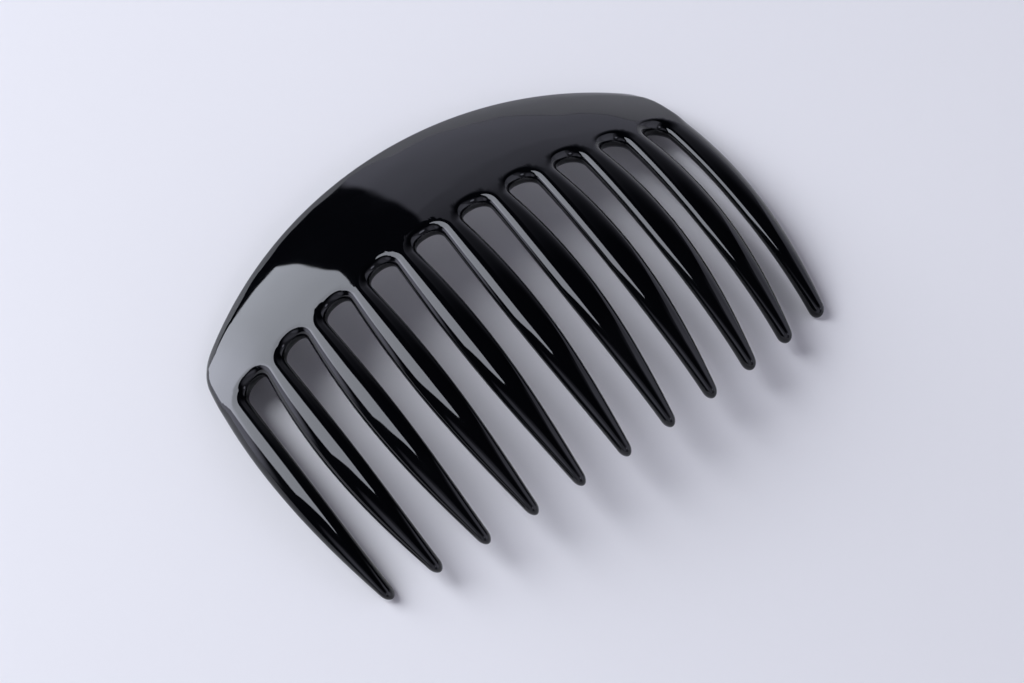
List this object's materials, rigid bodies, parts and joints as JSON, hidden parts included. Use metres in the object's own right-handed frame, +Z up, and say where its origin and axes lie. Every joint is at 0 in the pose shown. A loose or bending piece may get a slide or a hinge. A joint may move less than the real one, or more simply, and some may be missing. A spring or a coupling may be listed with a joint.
{
  "type": "curved wide tooth hair comb",
  "caption": "Domed glossy black hair comb with long wide-set teeth, arched to follow the head; slides into gathered hair and holds it.",
  "frame": {"origin": "under the middle of the comb, on the surface it lies on with its domed face up", "axes": "+X along the comb from one end tooth to the other, +Y from the tooth tips to the crown, +Z up out of the domed face"},
  "size_m": [0.0938, 0.0738, 0.0194],
  "materials": {
    "black_acetate": "hand-polished, mirror gloss with faint waviness"
  },
  "bodies": {
    "root": {"back": "black_acetate", "tooth_01": "black_acetate", "tooth_02": "black_acetate", "tooth_03": "black_acetate", "tooth_04": "black_acetate", "tooth_05": "black_acetate", "tooth_06": "black_acetate", "tooth_07": "black_acetate", "tooth_08": "black_acetate", "tooth_09": "black_acetate", "tooth_10": "black_acetate", "tooth_11": "black_acetate"}
  },
  "joints": []
}
